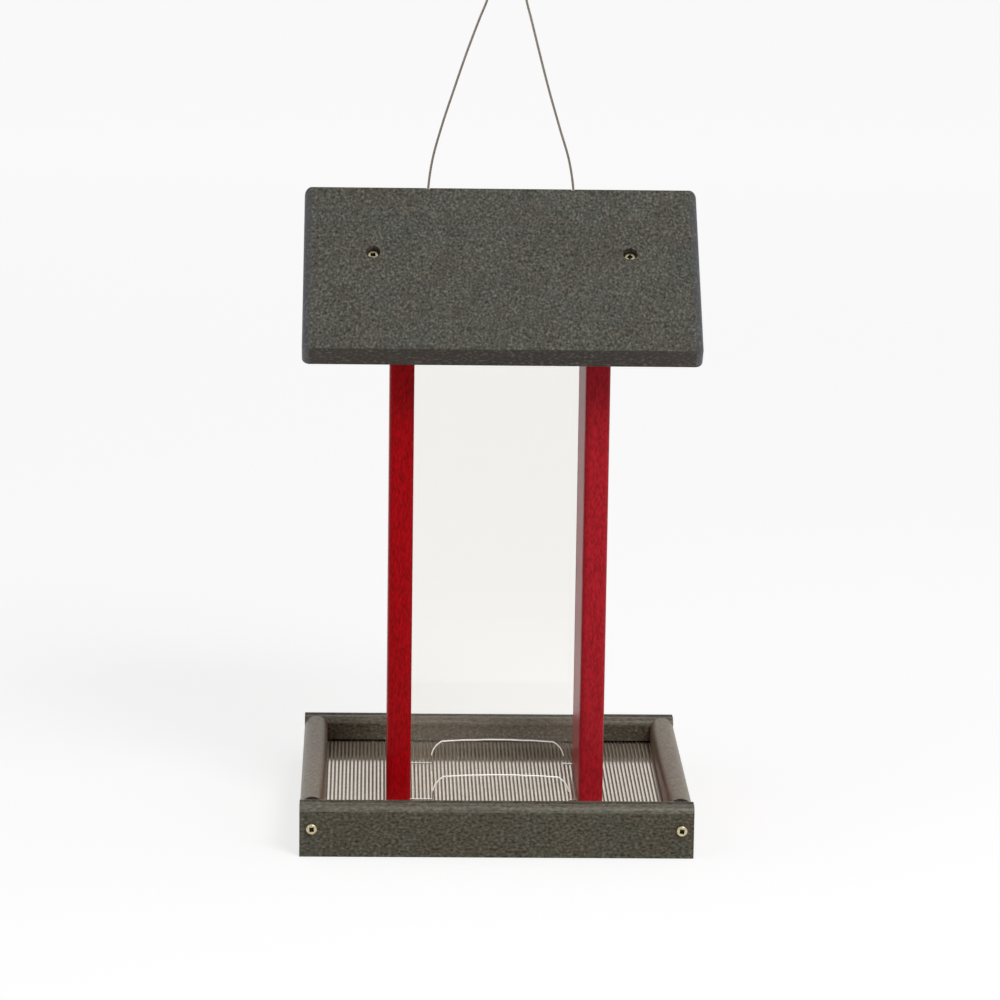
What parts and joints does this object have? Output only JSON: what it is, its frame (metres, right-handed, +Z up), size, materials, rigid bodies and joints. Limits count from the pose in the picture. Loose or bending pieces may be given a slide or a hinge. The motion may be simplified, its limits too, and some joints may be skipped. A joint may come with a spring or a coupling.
{
  "type": "bird feeder",
  "caption": "Hopper bird feeder: gable roof that lifts up its wire rope bail, two end boards, clear sliding panes with seed openings, and a framed tray with a wire cloth floor.",
  "frame": {"origin": "centre of the tray's footprint, on the surface that the feeder stands on", "axes": "+X to the right along the ridge, +Y to the back, +Z up along the hanging direction"},
  "size_m": [0.254, 0.2342, 0.573],
  "materials": {
    "charcoal_lumber": "extruded recycled plastic board, dark weathered brown-grey, fine wood grain",
    "red_lumber": "extruded recycled plastic board, red, satin",
    "clear_pane": "clear acrylic sheet, polished faces, sawn edges",
    "wire_cloth": "wire cloth, bright galvanised",
    "screw_steel": "stainless, warm satin",
    "wire_rope": "stranded galvanised wire rope, dull grey",
    "crimp_aluminium": "pressed, dull"
  },
  "bodies": {
    "tray": {"front_board": "charcoal_lumber", "back_board": "charcoal_lumber", "left_rail": "charcoal_lumber", "right_rail": "charcoal_lumber", "floor_screen": "wire_cloth", "left_end_board": "red_lumber", "right_end_board": "red_lumber", "front_corner_screws": "screw_steel", "back_corner_screws": "screw_steel", "end_board_screws": "screw_steel", "end_board_washers": "screw_steel", "hanging_cable": "wire_rope", "left_cable_stop": "crimp_aluminium", "right_cable_stop": "crimp_aluminium"},
    "roof": {"roof_front_panel": "charcoal_lumber", "roof_rear_panel": "charcoal_lumber", "left_roof_cleat": "charcoal_lumber", "right_roof_cleat": "charcoal_lumber", "roof_front_screws": "screw_steel", "roof_rear_screws": "screw_steel"},
    "front_pane": {"front_pane": "clear_pane"},
    "rear_pane": {"rear_pane": "clear_pane"}
  },
  "joints": [
    {"name": "roof_lift", "type": "slide", "parent": "tray", "child": "roof", "axis": [0, 0, 1], "range_m": [0, 0.1], "deforming": ["hanging_cable"]},
    {"name": "front_pane_lift", "type": "slide", "parent": "tray", "child": "front_pane", "axis": [0, 0, 1], "range_m": [0, 0.0105]},
    {"name": "rear_pane_lift", "type": "slide", "parent": "tray", "child": "rear_pane", "axis": [0, 0, 1], "range_m": [0, 0.0105]}
  ]
}
